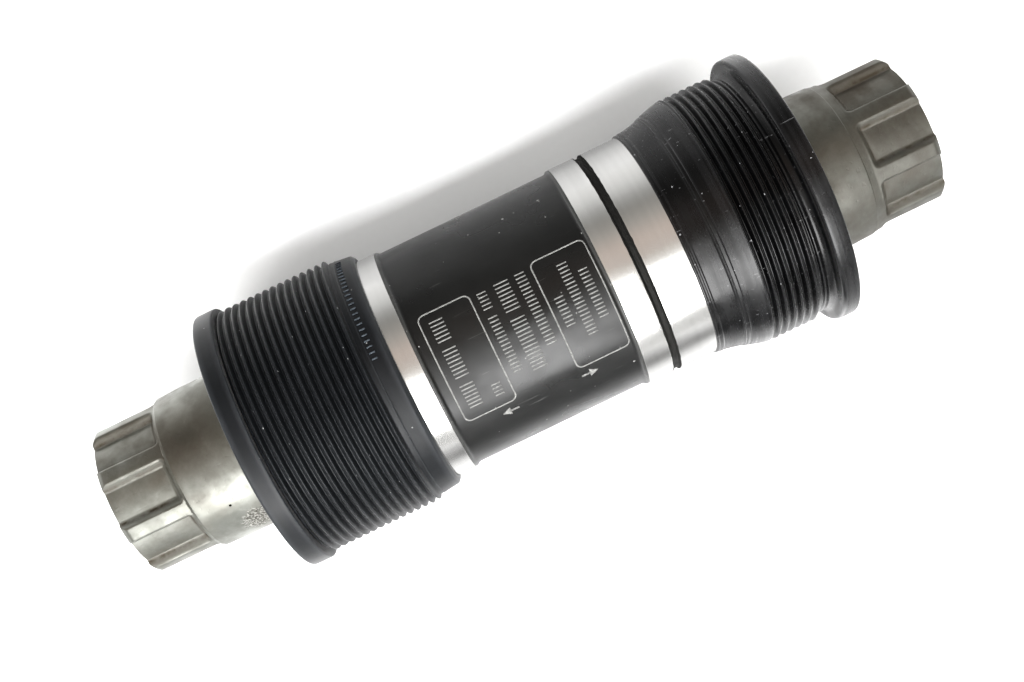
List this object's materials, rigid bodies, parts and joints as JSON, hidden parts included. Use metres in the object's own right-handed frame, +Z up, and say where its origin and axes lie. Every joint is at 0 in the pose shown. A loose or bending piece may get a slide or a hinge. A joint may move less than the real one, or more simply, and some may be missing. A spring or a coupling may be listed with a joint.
{
  "type": "bottom bracket",
  "caption": "Sealed cartridge bottom bracket with a hollow splined spindle, a flanged fixed cup, a sliding adapter cup and threads for a bicycle frame shell.",
  "frame": {"origin": "on the spindle's axis, midway between its two ends", "axes": "+Y along the spindle towards the left (non-drive) side, so the drive side is at -Y; +X towards the front of the bicycle; +Z up"},
  "size_m": [0.0373, 0.113, 0.0372],
  "materials": {
    "spindle_steel": "ground steel, slightly warm, lightly stained",
    "bright_steel": "fine turned",
    "black_cup": "glossy black",
    "charcoal_plastic": "satin moulded",
    "black_sleeve": "satin black",
    "seal_rubber": "matte",
    "race_steel": "ground",
    "ball_steel": "polished",
    "cage_plastic": "moulded nylon"
  },
  "bodies": {
    "cartridge": {"drive_cup": "black_cup", "drive_housing": "bright_steel", "body_tube": "bright_steel", "label_sleeve": "black_sleeve", "joint_seal": "seal_rubber", "drive_outer_race": "race_steel", "drive_outer_seal": "seal_rubber", "drive_inner_seal": "seal_rubber", "drive_dust_seal": "seal_rubber", "left_outer_race": "race_steel", "left_outer_seal": "seal_rubber", "left_inner_seal": "seal_rubber", "left_dust_seal": "seal_rubber"},
    "spindle": {"spindle": "spindle_steel", "drive_inner_race": "race_steel", "left_inner_race": "race_steel"},
    "drive_ball_set": {"drive_balls": "ball_steel", "drive_ball_cage": "cage_plastic"},
    "left_ball_set": {"left_balls": "ball_steel", "left_ball_cage": "cage_plastic"},
    "left_cup": {"left_cup": "charcoal_plastic"}
  },
  "joints": [
    {"name": "spindle_spin", "type": "hinge", "parent": "cartridge", "child": "spindle", "pos_m": [0, 0, 0], "axis": [0, 1, 0], "continuous": true},
    {"name": "drive_balls_spin", "type": "hinge", "parent": "cartridge", "child": "drive_ball_set", "pos_m": [0, 0, 0], "axis": [0, 1, 0], "continuous": true},
    {"name": "left_balls_spin", "type": "hinge", "parent": "cartridge", "child": "left_ball_set", "pos_m": [0, 0, 0], "axis": [0, 1, 0], "continuous": true},
    {"name": "left_cup_slide", "type": "slide", "parent": "cartridge", "child": "left_cup", "axis": [0, 1, 0], "range_m": [0, 0.045]}
  ],
  "couplings": [
    {"joint": "drive_balls_spin", "follows": "spindle_spin", "ratio": 0.4528},
    {"joint": "left_balls_spin", "follows": "spindle_spin", "ratio": 0.4528}
  ]
}
